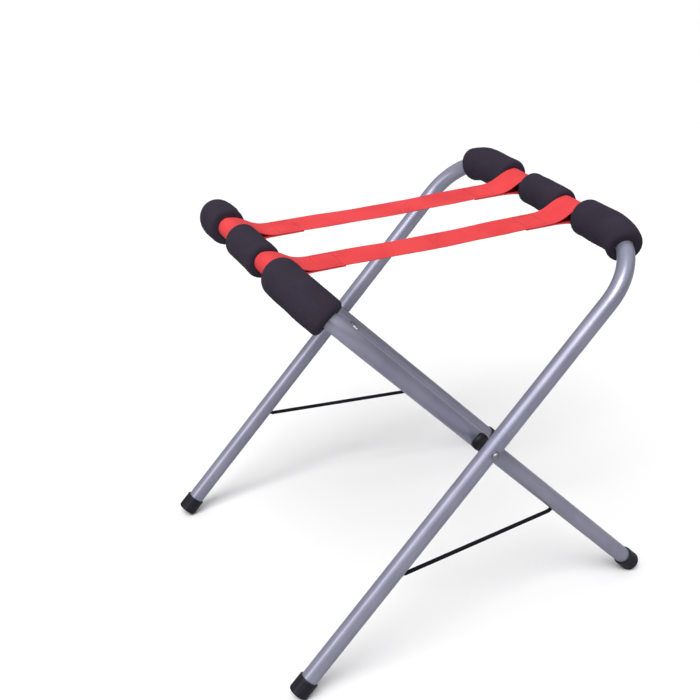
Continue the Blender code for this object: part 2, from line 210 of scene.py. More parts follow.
def cell_faces(rows, columns, rows_join, columns_join):
    """Corner numbers of every cell: (i, j), (i, j+1), (i+1, j+1), (i+1, j)."""
    i = np.arange(rows if rows_join else rows - 1)
    j = np.arange(columns if columns_join else columns - 1)
    i, j = np.meshgrid(i, j, indexing="ij")
    corners_i = np.stack([i, i, i + 1, i + 1], axis=-1).reshape(-1, 4)
    corners_j = np.stack([j, j + 1, j + 1, j], axis=-1).reshape(-1, 4)
    return corners_i, corners_j


def signed_volume(points, faces):
    """A sixth of the sum of each corner triple's box product, over all triangles."""
    fans = [faces[:, [0, k, k + 1]] for k in range(1, faces.shape[1] - 1)]
    a, b, c = (points[np.concatenate(fans)[:, k]] for k in range(3))
    return float(np.einsum("ij,ij->i", a, np.cross(b, c)).sum() / 6)


def grid_mesh(name, grid, rows_join=False, columns_join=True, around=None, along=None):
    """A closed skin over grid[i, j]; around and along give its UV map, in metres."""
    rows, columns = grid.shape[:2]
    corners_i, corners_j = cell_faces(rows, columns, rows_join, columns_join)
    quads = corners_i % rows * columns + corners_j % columns
    points = grid.reshape(-1, 3)
    caps = np.zeros((0, 3), int)
    if not rows_join:
        ends = np.stack([grid[0].mean(axis=0), grid[-1].mean(axis=0)])
        here = np.arange(columns)
        there = (here + 1) % columns
        first = np.stack([np.full(columns, len(points)), there, here], axis=1)
        last_row = (rows - 1) * columns
        last = np.stack(
            [np.full(columns, len(points) + 1), last_row + here, last_row + there], axis=1
        )
        caps = np.concatenate([first, last])
        points = np.concatenate([points, ends])
    volume = signed_volume(points, quads)
    if len(caps):
        volume += signed_volume(points, caps)
    turn = slice(None, None, -1 if volume < 0 else 1)
    mesh = bpy.data.meshes.new(name)
    faces = quads[:, turn].tolist() + caps[:, turn].tolist()
    mesh.from_pydata(points.tolist(), [], faces)
    if around is not None:
        u = around[corners_j[:, turn]].reshape(-1)
        v = along[corners_i[:, turn]].reshape(-1)
        cap_uv = np.zeros((3 * len(caps), 2))
        cap_uv[:, 1] = np.repeat([along[0], along[-1]], 3 * len(caps) // 2)
        uv = np.concatenate([np.stack([u, v], axis=1), cap_uv])
        layer = mesh.uv_layers.new(name="cloth")
        layer.uv.foreach_set("vector", uv.astype(np.float32).reshape(-1))
    mesh.shade_smooth()
    mesh.set_sharp_from_angle(angle=SMOOTH_ANGLE)
    return mesh


# %% [markdown]
# Every finished piece is one object at the origin, with its place in its mesh,
# like the imported solids. It gets a material, and the solids that it stands
# for are hidden.

# %% From a mesh to a finished piece


def make_piece(name, mesh, material, stands_for=()):
    """An object for a mesh, with its finish and its solids."""
    piece = bpy.data.objects.new(name, mesh)
    mesh.materials.append(material)
    scene.collection.objects.link(piece)
    if stands_for:
        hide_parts(*stands_for)
    return piece


def circle_angles(sides):
    """Equal steps of angle round one turn."""
    return np.arange(sides) * 2 * np.pi / sides


def same_for_all(direction, centres):
    """One direction repeated for each of a line's centres."""
    return np.broadcast_to(np.array(direction, float), centres.shape)


def evenly(start, end, step):
    """Places from start to end, both included, no further apart than a step."""
    return np.linspace(start, end, max(2, math.ceil(abs(end - start) / step) + 1))


def carried(centres, out, across, radius, angles):
    """A round section carried along a line.

    Each point is its centre, plus the radius times the cosine of its angle
    along the outward direction, plus the sine of it along the other direction.
    """
    radius = np.broadcast_to(np.asarray(radius), (len(centres), len(angles)))
    wave = np.cos(angles)[None, :, None] * out[:, None, :]
    wave = wave + np.sin(angles)[None, :, None] * across[:, None, :]
    return centres[:, None, :] + radius[:, :, None] * wave


# %% [markdown]
# ## Finishes as node groups
# Several finishes share an effect, such as fine grain, slow drift of colour, or
# the rub of hands. Each effect is a node group with named inputs, built once,
# and each material places it with its own values. A group only gives out
# colours, masks and heights. The shader itself stays in the material.

# %% Helpers for node groups


def new_group(name, inputs, outputs):
    """An empty group, with sockets given as (name, type, default value)."""
    group = bpy.data.node_groups.new(name, "ShaderNodeTree")
    for label, kind, value in inputs:
        socket = group.interface.new_socket(label, in_out="INPUT", socket_type=kind)
        if value is not None:
            socket.default_value = value
    for label, kind in outputs:
        group.interface.new_socket(label, in_out="OUTPUT", socket_type=kind)
    start = group.nodes.new("NodeGroupInput")
    end = group.nodes.new("NodeGroupOutput")
    return group, start.outputs, end.inputs


def add_node(tree, kind, inputs=None, **settings):
    """A node with its settings, whose inputs are values or other nodes' outputs."""
    node = tree.nodes.new(kind)
    for key, value in settings.items():
        setattr(node, key, value)
    for key, value in (inputs or {}).items():
        if isinstance(value, bpy.types.NodeSocket):
            tree.links.new(value, node.inputs[key])
        else:
            node.inputs[key].default_value = value
    return node


def math_node(tree, operation, a, b=0.0, clamp=False):
    node = add_node(
        tree, "ShaderNodeMath", {0: a, 1: b}, operation=operation, use_clamp=clamp
    )
    return node.outputs[0]


def mix_colour(tree, factor, a, b, blend="MIX"):
    node = add_node(tree, "ShaderNodeMix", data_type="RGBA", blend_type=blend)
    for socket, value in zip((node.inputs[0], node.inputs[6], node.inputs[7]), (factor, a, b)):
        if isinstance(value, bpy.types.NodeSocket):
            tree.links.new(value, socket)
        else:
            socket.default_value = value
    return node.outputs[2]


COLOUR, VALUE, VECTOR = "NodeSocketColor", "NodeSocketFloat", "NodeSocketVector"

# %% [markdown]
# **Fine grain** is what keeps a smooth surface from looking like plastic film:
# a fast noise that makes the colour a little lighter and darker, and gives a
# height for a bump. **Slow drift** is its opposite, broad patches that differ
# by a few percent, as any sprayed, dyed or moulded surface has.

# %% Grain and drift
grain, grain_in, grain_out = new_group(
    "fine_grain",
    [
        ("Vector", VECTOR, None),
        ("Colour", COLOUR, (0.5, 0.5, 0.5, 1.0)),
        ("Grains per metre", VALUE, 1500.0),
        ("Contrast", VALUE, 0.15),
    ],
    [("Colour", COLOUR), ("Height", VALUE)],
)
noise = add_node(
    grain,
    "ShaderNodeTexNoise",
    {"Vector": grain_in["Vector"], "Scale": grain_in["Grains per metre"], "Detail": 3.0},
)
swing = math_node(grain, "SUBTRACT", noise.outputs["Fac"], 0.5)
swing = math_node(grain, "MULTIPLY", swing, grain_in["Contrast"])
bright = math_node(grain, "MULTIPLY_ADD", swing, 2.0)
grain.nodes[-1].inputs[2].default_value = 1.0
tint = add_node(grain, "ShaderNodeCombineColor", {0: bright, 1: bright, 2: bright})
grain.links.new(
    mix_colour(grain, 1.0, grain_in["Colour"], tint.outputs[0], "MULTIPLY"),
    grain_out["Colour"],
)
grain.links.new(noise.outputs["Fac"], grain_out["Height"])

drift, drift_in, drift_out = new_group(
    "slow_drift",
    [
        ("Vector", VECTOR, None),
        ("Colour", COLOUR, (0.5, 0.5, 0.5, 1.0)),
        ("Other colour", COLOUR, (0.4, 0.4, 0.4, 1.0)),
        ("Patches per metre", VALUE, 12.0),
    ],
    [("Colour", COLOUR), ("Patch", VALUE)],
)
noise = add_node(
    drift,
    "ShaderNodeTexNoise",
    {"Vector": drift_in["Vector"], "Scale": drift_in["Patches per metre"], "Detail": 2.0},
)
patch = add_node(
    drift,
    "ShaderNodeMapRange",
    {"Value": noise.outputs["Fac"], "From Min": 0.35, "From Max": 0.65},
)
drift.links.new(
    mix_colour(drift, patch.outputs[0], drift_in["Colour"], drift_in["Other colour"]),
    drift_out["Colour"],
)
drift.links.new(patch.outputs[0], drift_out["Patch"])
print("groups:", grain.name, drift.name)

# %% [markdown]
# **Rub** is the trace of use. It is a mask of thin, broken, stretched flecks,
# strongest near the floor, where a rack is kicked and slid, and it fades above
# a height that each material chooses.

# %% Rub
rub, rub_in, rub_out = new_group(
    "rub",
    [
        ("Vector", VECTOR, None),
        ("Fades at height", VALUE, 0.12),
        ("Flecks per metre", VALUE, 90.0),
        ("Least", VALUE, 0.15),
    ],
    [("Mask", VALUE)],
)
noise = add_node(
    rub,
    "ShaderNodeTexNoise",
    {"Vector": rub_in["Vector"], "Scale": rub_in["Flecks per metre"], "Detail": 6.0, "Roughness": 0.7},
)
flecks = add_node(
    rub,
    "ShaderNodeMapRange",
    {"Value": noise.outputs["Fac"], "From Min": 0.60, "From Max": 0.72},
)
height = add_node(rub, "ShaderNodeSeparateXYZ", {0: rub_in["Vector"]}).outputs["Z"]
low = math_node(rub, "DIVIDE", height, rub_in["Fades at height"])
low = math_node(rub, "SUBTRACT", 1.0, low, clamp=True)
low = math_node(rub, "MAXIMUM", low, rub_in["Least"])
rub.links.new(math_node(rub, "MULTIPLY", flecks.outputs[0], low), rub_out["Mask"])

# %% [markdown]
# ** Threads** is a plain weave read from the UV map, which is in metres. Two
# rows of rounded ridges cross, and a chequer of their cells says which one lies
# on top. The strap uses it.
# The colour darkens where the weave is low, between the threads: painted shade in the gaps.

# %% Threads
threads, threads_in, threads_out = new_group(
    "threads",
    [
        ("UV", VECTOR, None),
        ("Colour", COLOUR, (0.8, 0.1, 0.1, 1.0)),
        ("Across pitch", VALUE, 0.0012),
        ("Along pitch", VALUE, 0.0018),
        ("Gap darkness", VALUE, 0.4),
    ],
    [("Colour", COLOUR), ("Height", VALUE)],
)
parts = add_node(threads, "ShaderNodeSeparateXYZ", {0: threads_in["UV"]}).outputs
cells, ridges = [], []
for axis, pitch in (("X", "Across pitch"), ("Y", "Along pitch")):
    count = math_node(threads, "DIVIDE", parts[axis], threads_in[pitch])
    cells.append(math_node(threads, "FLOOR", count))
    wave = math_node(threads, "MULTIPLY", count, math.pi)
    wave = math_node(threads, "SINE", wave)
    ridges.append(math_node(threads, "ABSOLUTE", wave))
chequer = math_node(threads, "ADD", *cells)
chequer = math_node(threads, "PINGPONG", chequer, 1.0)
over = math_node(threads, "SUBTRACT", 1.0, chequer)
warp = math_node(threads, "MULTIPLY", ridges[0], over)
weft = math_node(threads, "MULTIPLY", ridges[1], chequer)
shape = math_node(threads, "ADD", warp, weft)
low = math_node(threads, "MULTIPLY", ridges[0], ridges[1])
shape = math_node(threads, "ADD", shape, low)
shape = math_node(threads, "MULTIPLY", shape, 0.5)
# Where the weave is low, between the threads, the colour darkens towards near black: painted shade in
# the gaps.
shade = math_node(threads, "SUBTRACT", 1.0, shape)
shade = math_node(threads, "MULTIPLY", shade, threads_in["Gap darkness"])
threads.links.new(
    mix_colour(threads, shade, threads_in["Colour"], (0.02, 0.004, 0.004, 1.0)),
    threads_out["Colour"],
)
threads.links.new(shape, threads_out["Height"])
print("groups:", rub.name, threads.name)

# %% A material with its shader and its bump


def new_material(name, roughness, metallic=0.0, coat=0.0, specular=0.5, sheen=0.0):
    """A material whose even values sit on the shader's own sockets."""
    material = bpy.data.materials.new(name)
    material.use_nodes = True
    tree = material.node_tree
    shader = tree.nodes["Principled BSDF"]
    shader.inputs["Roughness"].default_value = roughness
    shader.inputs["Metallic"].default_value = metallic
    shader.inputs["Coat Weight"].default_value = coat
    shader.inputs["Coat Roughness"].default_value = 0.12
    shader.inputs["Specular IOR Level"].default_value = specular
    shader.inputs["Sheen Weight"].default_value = sheen
    place = add_node(tree, "ShaderNodeTexCoord").outputs["Object"]
    print("finish:", name)
    return material, tree, shader, place


def use_group(tree, group, **inputs):
    """A group placed in a material; an underscore stands for a space in a name."""
    node = tree.nodes.new("ShaderNodeGroup")
    node.node_tree = group
    for key, value in inputs.items():
        socket = node.inputs[key.replace("_", " ")]
        if isinstance(value, bpy.types.NodeSocket):
            tree.links.new(value, socket)
        else:
            socket.default_value = value
    return node.outputs


def add_bump(tree, shader, height, depth, strength=1.0, under=None):
    """A bump of a depth in metres on the shader's normal, over another bump."""
    inputs = {"Height": height, "Distance": depth, "Strength": strength}
    if under is not None:
        inputs["Normal"] = under
    bump = add_node(tree, "ShaderNodeBump", inputs)
    tree.links.new(bump.outputs["Normal"], shader.inputs["Normal"])
    return bump.outputs["Normal"]


def drifting(tree, place, colour, other, patches):
    """Slow drift between two colours."""
    return use_group(
        tree,
        drift,
        Vector=place,
        Colour=(*colour, 1.0),
        Other_colour=(*other, 1.0),
        Patches_per_metre=patches,
    )


def grained(tree, place, colour, grains, contrast):
    """Fine grain over a colour."""
    return use_group(
        tree, grain, Vector=place, Colour=colour, Grains_per_metre=grains, Contrast=contrast
    )


def rough_between(tree, shader, mask, least, most):
    """A roughness that grows from its least to its most with a mask."""
    rough = add_node(tree, "ShaderNodeMapRange", {"Value": mask, "To Min": least, "To Max": most})
    tree.links.new(rough.outputs[0], shader.inputs["Roughness"])


# %% [markdown]
# ## Floor
# The floor is a plain pale sheet. A white floor would light the rack from below
# as strongly as the sun does from above and wash its shadows out, so the floor
# bounces light as a middle grey and only looks white. It isn't part of the rack.

# %% Floor
FLOOR_HALF = 8.0
floor_mesh = bpy.data.meshes.new("floor")
floor_mesh.from_pydata(
    [(x * FLOOR_HALF, y * FLOOR_HALF, 0.0) for x, y in ((-1, -1), (1, -1), (1, 1), (-1, 1))],
    [],
    [(0, 1, 2, 3)],
)
floor = bpy.data.objects.new("floor", floor_mesh)
scene.collection.objects.link(floor)
floor_material, floor_tree, floor_shader, floor_place = new_material("pale_floor", 0.7)
floor_colour = drifting(floor_tree, floor_place, [0.955] * 3, [0.945] * 3, 2.0)
seen = add_node(floor_tree, "ShaderNodeLightPath").outputs["Is Camera Ray"]
floor_tree.links.new(
    mix_colour(floor_tree, seen, (0.42, 0.42, 0.43, 1.0), floor_colour["Colour"]),
    floor_shader.inputs["Base Color"],
)
floor_mesh.materials.append(floor_material)

# %% [markdown]
# ## Side cords
# On each side a braided cord of 6 mm runs from the outer frame's leg to the
# inner frame's, with a knot inside each tube. It is taut when the rack is open,
# and hangs down in a narrow U when it is folded. The model splits it at its
# middle. Each half has a short neck that comes out of its hole and bends, and a
# long run that bends again near the middle. The braid is in the surface: the
# radius dips wherever neither of two opposite families of strands passes.

# %% Cord finish
CORD_D = 0.006
CORD_TURN_IN = 0.0037  # from the bending point to where the long run starts
CORD_INTO_LEG = 0.0114  # from the bending point back to the neck's hidden end
BRAID_STRANDS = 8
BRAID_PITCH = 0.011
BRAID_DEPTH = 0.00022

cord_finish, tree, shader, place = new_material("braided_cord", 0.8, specular=0.2)
drifted = drifting(tree, place, (0.004, 0.004, 0.006), (0.008, 0.007, 0.010), 40.0)
speckled = grained(tree, place, drifted["Colour"], 3200.0, 0.8)
tree.links.new(speckled["Colour"], shader.inputs["Base Color"])
add_bump(tree, shader, speckled["Height"], 0.00012, 0.7)

# %% Cord surface


def braided_tube(name, line, radius):
    """A braided cord along a line of points.

    The radius is the cord's own, less a depth where the product of two cosines
    is small: one winds round the cord to the left, and the other to the right.
    """
    line = np.asarray(line, float)
    steps = np.linalg.norm(np.diff(line, axis=0), axis=1)
    travelled = np.concatenate([[0.0], np.cumsum(steps)])
    tangent = np.gradient(line, axis=0)
    tangent /= np.linalg.norm(tangent, axis=1)[:, None]
    across = np.cross(tangent, (0.0, 0.0, 1.0))
    across /= np.linalg.norm(across, axis=1)[:, None]
    out = np.cross(across, tangent)
    angles = circle_angles(5 * BRAID_STRANDS)
    winding = 2 * np.pi * travelled[:, None] / BRAID_PITCH
    left = np.cos(BRAID_STRANDS / 2 * (angles[None, :] + winding))
    right = np.cos(BRAID_STRANDS / 2 * (angles[None, :] - winding))
    strand = np.maximum(np.abs(left), np.abs(right))
    fade = np.minimum(travelled, travelled[-1] - travelled) / 0.0008
    depth = BRAID_DEPTH * np.clip(fade, 0.0, 1.0)[:, None]
    surface = carried(line, out, across, radius - depth * (1.0 - strand) ** 0.8, angles)
    return grid_mesh(name, surface), travelled[-1]


def cord_line(start, end):
    """A straight line: start plus a growing share of the way to the end."""
    return start + np.linspace(0.0, 1.0, 260)[:, None] * (end - start)


def bent_line(start, corner, end):
    """A quadratic curve that leaves start towards the corner and arrives from it."""
    t = np.linspace(0.0, 1.0, 40)[:, None]
    return (1 - t) ** 2 * start + 2 * t * (1 - t) * corner + t**2 * end


# %% The four cord halves
for side_name in SIDES:
    bends = {
        which: np.array(joints[f"{side_name}_{which}_cord_swing"]["pos_m"])
        for which in HALF
    }
    middle = (bends["outer"] + bends["inner"]) / 2
    for which, bend in bends.items():
        body = f"{side_name}_{which}_cord"
        along = (middle - bend) / np.linalg.norm(middle - bend)
        leg_out = np.array([math.cos(LEANS[which]), 0.0, -math.sin(LEANS[which])])
        leg_out = leg_out * FRAME_SIDE[which]
        start = bend + along * CORD_TURN_IN
        inside = bend - leg_out * CORD_INTO_LEG
        neck_mesh, _ = braided_tube(body + "_neck", bent_line(inside, bend, start), CORD_D / 2)
        neck = make_piece(
            body + "_neck", neck_mesh, cord_finish,
            [f"{side_name}_{which}_cord_knot"],
        )
        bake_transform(neck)
        end = middle - along * GAP / 2
        line = cord_line(start, end)
        run_mesh, length = braided_tube(body + "_line", line, CORD_D / 2)
        run = make_piece(
            body + "_line", run_mesh, cord_finish,
            [f"{side_name}_cord_{which}_run", f"{side_name}_cord_{which}_end"],
        )
        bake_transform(run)
        print(body, "half of", round(length * 1000, 1), "mm")

# %% [markdown]
# ## Webbing straps
# A strap is a flat band of woven webbing, 51 mm wide. Its end goes round the bar
# and comes back under the band, where it is sewn to it. The side view of that is
# one line: forward under the band, round the tube, down in a soft S from the top
# of the tube to the seam, and out to the middle of the rack with a little sag.
# The band's own section, a thin rounded rectangle, is carried along that line.

# %% Webbing finish
STRAP_WIDTH = 0.0508
STRAP_THICKNESS = 0.0017
STRAP_SEAM = 0.057
STRAP_OVERLAP = 0.040
STRAP_LAYER_GAP = 0.0001
STRAP_RIPPLE = 0.0004
SEAM_LEAD = 0.004  # from the seam's start to its first row of stitches
RIPPLE_FROM = 0.145  # before the strap's middle
RIPPLE_FADE = 0.05
STRAP_DROP = 0.005
STRAP_SAG = 0.0022

webbing, tree, shader, place = new_material("red_webbing", 0.75, specular=0.3)
cloth = add_node(tree, "ShaderNodeUVMap", uv_map="cloth").outputs["UV"]
drifted = drifting(tree, place, (0.93, 0.070, 0.077), (0.84, 0.054, 0.063), 22.0)
woven = use_group(
    tree,
    threads,
    UV=cloth,
    Colour=drifted["Colour"],
    Across_pitch=0.00127,
    Along_pitch=0.0021,
    # how strongly the weave's gaps are darkened: painted shade between the threads
    Gap_darkness=0.24,
)
speckled = grained(tree, place, woven["Colour"], 2600.0, 0.16)
tree.links.new(speckled["Colour"], shader.inputs["Base Color"])
under = add_bump(tree, shader, speckled["Height"], 0.00006, 0.5)
add_bump(tree, shader, woven["Height"], 0.00022, 0.8, under)

# %% The strap's side view


def bezier(points, count):
    """A cubic curve: each control point weighed by its Bernstein polynomial."""
    t = np.linspace(0.0, 1.0, count)[:, None]
    a, b, c, d = (np.asarray(point, float) for point in points)
    return (1 - t) ** 3 * a + 3 * t * (1 - t) ** 2 * b + 3 * t**2 * (1 - t) * c + t**3 * d


def resampled(line, step):
    """The same line with its points the same distance apart."""
    gaps = np.linalg.norm(np.diff(line, axis=0), axis=1)
    line = np.concatenate([line[:1], line[1:][gaps > 1e-7]])
    gaps = gaps[gaps > 1e-7]
    travelled = np.concatenate([[0.0], np.cumsum(gaps)])
    places = evenly(0.0, travelled[-1], step)
    columns = [np.interp(places, travelled, line[:, k]) for k in range(line.shape[1])]
    return np.stack(columns, axis=1), places


def strap_line():
    """(reach, height) from the bar's middle, reach growing towards the rack's middle."""
    wrap_r = TUBE_R + GAP + STRAP_THICKNESS / 2
    band = -STRAP_DROP + STRAP_THICKNESS / 2
    below = band - STRAP_THICKNESS - STRAP_LAYER_GAP
    under = np.stack(
        [
            np.linspace(STRAP_SEAM + STRAP_OVERLAP, STRAP_SEAM, 12),
            np.full(12, below),
        ],
        axis=1,
    )
    leave = math.radians(-72)
    foot = wrap_r * np.array([math.cos(leave), math.sin(leave)])
    towards = np.array([-math.sin(leave), math.cos(leave)])
    back = bezier(
        [(STRAP_SEAM, below), (STRAP_SEAM - 0.022, below), foot + 0.016 * towards, foot], 24
    )
    turn = np.linspace(leave, -1.5 * np.pi - math.radians(4), 60)
    wrap = wrap_r * np.stack([np.cos(turn), np.sin(turn)], axis=1)
    top = wrap[-1]
    ahead = np.array([math.cos(math.radians(-4)), math.sin(math.radians(-4))])
    front = bezier(
        [top, top + 0.026 * ahead, (STRAP_SEAM - 0.028, band), (STRAP_SEAM + SEAM_LEAD, band)], 40
    )
    reach = np.linspace(STRAP_SEAM + SEAM_LEAD, BAR_X - GAP / 2, 90)
    share = (reach - reach[0]) / (BAR_X - reach[0])
    sag = STRAP_SAG * np.sin(share * np.pi / 2) ** 2
    level = np.stack([reach, band - sag], axis=1)
    return np.concatenate([under, back[1:], wrap[1:], front[1:], level[1:]])


strap_points, strap_travel = resampled(strap_line(), 0.0018)
print("webbing for half a strap:", round(strap_travel[-1] * 1000), "mm")

# %% The strap's surface


def band_section(width, thickness):
    """A flat loop of (across, up) points: two long sides and two round edges."""
    r = thickness / 2
    flat = np.linspace(-1, 1, 15) * (width / 2 - r)
    bend = np.linspace(-np.pi / 2, np.pi / 2, 7)[1:-1]
    right = np.stack([width / 2 - r + r * np.cos(bend), r * np.sin(bend)], axis=1)
    left = np.stack([-right[::-1, 0], right[::-1, 1]], axis=1)
    bottom = np.stack([flat, np.full(15, -r)], axis=1)
    top = np.stack([flat[::-1], np.full(15, r)], axis=1)
    return np.concatenate([bottom, right, top, left])


def strap_mesh(name, strap_y, side):
    """The band's section at every point of its line, upright to the line.

    Across the rack is Y. The line's own normal, turned a quarter from its
    tangent, carries the section's thickness.
    """
    tangent = np.gradient(strap_points, axis=0)
    tangent /= np.linalg.norm(tangent, axis=1)[:, None]
    normal = np.stack([-tangent[:, 1], tangent[:, 0]], axis=1)
    section = band_section(STRAP_WIDTH, STRAP_THICKNESS)
    flat = strap_points[:, None, :] + section[None, :, 1, None] * normal[:, None, :]
    ripple = STRAP_RIPPLE * np.sin(strap_travel[:, None] * 47 + section[None, :, 0] * 60)
    x = side * (BAR_X - flat[..., 0])
    y = strap_y + np.broadcast_to(section[None, :, 0], x.shape)
    z = BAR_HEIGHT + flat[..., 1] + ripple * free_share()[:, None]
    around = np.append(section[:, 0], section[0, 0])
    along = strap_travel[-1] - strap_travel
    return grid_mesh(name, np.stack([x, y, z], axis=-1), around=around, along=along)


def free_share():
    """How free the band is to ripple: not at all near the bar or at its middle."""
    to_middle = strap_travel[-1] - strap_travel
    after = np.clip((RIPPLE_FROM - to_middle) / RIPPLE_FADE, 0, 1)
    before = np.clip(to_middle / RIPPLE_FADE, 0, 1)
    return after * before


# %% [markdown]
# The seam is a sewn box. Each stitch is a short, fat grain of thread of a few
# dozen faces, and all of a seam's stitches are one mesh: the places of the
# stitches are an array, and the shape of one stitch is added to each of them.

# %% Stitching finish and surface
STITCH_LENGTH = 0.0026
STITCH_PITCH = 0.0034
STITCH_D = 0.0007
STITCH_PROUD = 0.00008

thread, tree, shader, place = new_material("sewing_thread", 0.55, sheen=0.2)
speckled = grained(tree, place, (0.36, 0.016, 0.026, 1.0), 5200.0, 0.5)
tree.links.new(speckled["Colour"], shader.inputs["Base Color"])
add_bump(tree, shader, speckled["Height"], 0.00005)


def stitch_grid():
    """A thread's round section whose radius swells from its ends as a sine."""
    share = np.linspace(0.02, 0.98, 7)
    centres = np.stack([(share - 0.5) * STITCH_LENGTH, 0 * share, 0 * share], axis=1)
    radius = STITCH_D / 2 * np.sin(share * np.pi)[:, None] ** 0.6
    up, sideways = same_for_all((0, 0, 1), centres), same_for_all((0, 1, 0), centres)
    return carried(centres, up, sideways, radius, circle_angles(6))


def many(name, mesh, places, turned):
    """One mesh holding a copy of a small mesh at each place, some a quarter turned."""
    count = len(mesh.vertices)
    co = np.zeros(count * 3, np.float32)
    mesh.vertices.foreach_get("co", co)
    co = co.reshape(1, -1, 3)
    quarter = np.stack([-co[..., 1], co[..., 0], co[..., 2]], axis=-1)
    shape = np.where(turned[:, None, None], quarter, co)
    points = (shape + places[:, None, :]).reshape(-1, 3)
    faces = [list(face.vertices) for face in mesh.polygons]
    all_faces = [[v + k * count for v in face] for k in range(len(places)) for face in faces]
    joined = bpy.data.meshes.new(name)
    joined.from_pydata(points.tolist(), [], all_faces)
    joined.shade_smooth()
    return joined


def seam_places():
    """Stitches of a box: two rows across and two along, on the top and underneath."""
    inset = 0.005
    start, end = STRAP_SEAM + SEAM_LEAD, STRAP_SEAM + STRAP_OVERLAP - 0.003
    side = STRAP_WIDTH / 2 - inset
    rows = evenly(-side, side, STITCH_PITCH)
    lines = evenly(start, end, STITCH_PITCH)[1:-1]
    across = [(reach, y, 1) for reach in (start, end) for y in rows]
    along = [(reach, y, 0) for y in (-side, side) for reach in lines]
    flat = np.array(across + along)
    top = -STRAP_DROP + STRAP_THICKNESS + STITCH_PROUD
    bottom = -STRAP_DROP - STRAP_THICKNESS - STRAP_LAYER_GAP - STITCH_PROUD
    levels = [np.column_stack([flat, np.full(len(flat), level)]) for level in (top, bottom)]
    return np.concatenate(levels)


one_stitch = grid_mesh("one_stitch", stitch_grid())
print("stitches in a seam:", len(seam_places()))

# %% The four half straps
strap_middle = STRAP_WIDTH + 2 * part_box("far_strap_outer_loop")[0].y
for side_name, side in SIDES.items():
    for which, frame_side in FRAME_SIDE.items():
        strap_y = side * strap_middle / 2
        name = f"{side_name}_strap_{which}"
        strap = make_piece(
            name, strap_mesh(name, strap_y, frame_side), webbing,
            [name + "_loop", name + "_end"],
        )
        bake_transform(strap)
        spots = seam_places()
        places = np.stack(
            [
                frame_side * (BAR_X - spots[:, 0]),
                strap_y + spots[:, 1],
                BAR_HEIGHT + spots[:, 3],
            ],
            axis=1,
        )
        seam_mesh = many(name + "_stitching", one_stitch, places, spots[:, 2] > 0.5)
        seam = make_piece(name + "_stitching", seam_mesh, thread)
        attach(seam, which + "_strap_loops")
print("strap middles at", round(strap_middle / 2, 4))

# %% [markdown]
# ## The bent tubes
# Each frame is one tube bent to a U. Its centreline is a formula of the distance
# from the middle of its bar: level, then a quarter circle, then straight down.
# A closed round section is carried along it, and a blind hole is cut in each leg
# for the cord. The paint is a silver with a little blue in it, over a faint
# flake, with a thin clear coat, and rubbed where the rack meets floors.

# %% Paint finish
paint, tree, shader, place = new_material("silver_paint", 0.38, metallic=0.62, coat=0.4)
drifted = drifting(tree, place, (0.385, 0.385, 0.50), (0.325, 0.328, 0.435), 16.0)
speckled = grained(tree, place, drifted["Colour"], 2400.0, 0.30)
rubbed = use_group(tree, rub, Vector=place, Fades_at_height=0.14, Flecks_per_metre=130.0)
tree.links.new(
    mix_colour(tree, rubbed["Mask"], speckled["Colour"], (0.16, 0.165, 0.19, 1.0)),
    shader.inputs["Base Color"],
)
rough_between(tree, shader, rubbed["Mask"], 0.37, 0.62)
add_bump(tree, shader, speckled["Height"], 0.00003, 0.6)

# %% The U's centreline


def u_line(half, distance):
    """Centres and two side directions at signed distances from the bar's middle.

    The line is level until the bend starts, then y grows with the sine of the
    turn and z falls with one less its cosine, and after a quarter turn the rest
    of the distance goes straight down. One side direction points out of the
    bend, and the other is square to the frame's plane. Distances may come in an
    array of any shape, which the answers keep.
    """
    distance = np.asarray(distance, float)
    sign = np.where(distance < 0, -1.0, 1.0)
    far = np.abs(distance)
    level = half - BEND_RADIUS
    turn = np.clip((far - level) / BEND_RADIUS, 0.0, np.pi / 2)
    beyond = np.maximum(far - level - BEND_RADIUS * np.pi / 2, 0.0)
    y = np.minimum(far, level) + BEND_RADIUS * np.sin(turn)
    z = LEG_ABOVE - BEND_RADIUS * (1 - np.cos(turn)) - beyond
    zero = np.zeros_like(y)
    centres = np.stack([zero, sign * y, z], axis=-1)
    out = np.stack([zero, sign * np.sin(turn), np.cos(turn)], axis=-1)
    across = np.stack([zero + 1.0, zero, zero], axis=-1)
    return centres, out, across


def leaned(points, lean):
    """Points of a frame's upright plane, turned about the pivot axis and lifted."""
    x = points[..., 0] * math.cos(lean) + points[..., 2] * math.sin(lean)
    z = points[..., 2] * math.cos(lean) - points[..., 0] * math.sin(lean)
    return np.stack([x, points[..., 1], z + PIVOT_HEIGHT], axis=-1)


# %% The two tubes
CAP_FLOOR = 0.004
CORD_BELOW_PIVOT = 0.210
CORD_HOLE_R = 0.0036
CORD_HOLE_REACH = (0.0045, 0.0145)  # the drill's two ends, from the leg's centre


def tube_mesh(name, half, lean):
    """The tube's circle carried along the U, with closer rows in the bends."""
    bend_start = half - BEND_RADIUS
    bend_end = bend_start + BEND_RADIUS * np.pi / 2
    leg = LEG_ABOVE - BEND_RADIUS + LEG_BELOW - CAP_FLOOR - GAP
    right = np.concatenate(
        [
            evenly(0.0, bend_start, 0.03)[1:],
            evenly(bend_start, bend_end, 0.0045)[1:],
            evenly(bend_end, bend_end + leg, 0.03)[1:],
        ]
    )
    distance = np.concatenate([-right[::-1], [0.0], right])
    grid = carried(*u_line(half, distance), TUBE_R, circle_angles(56))
    return grid_mesh(name, leaned(grid, lean))


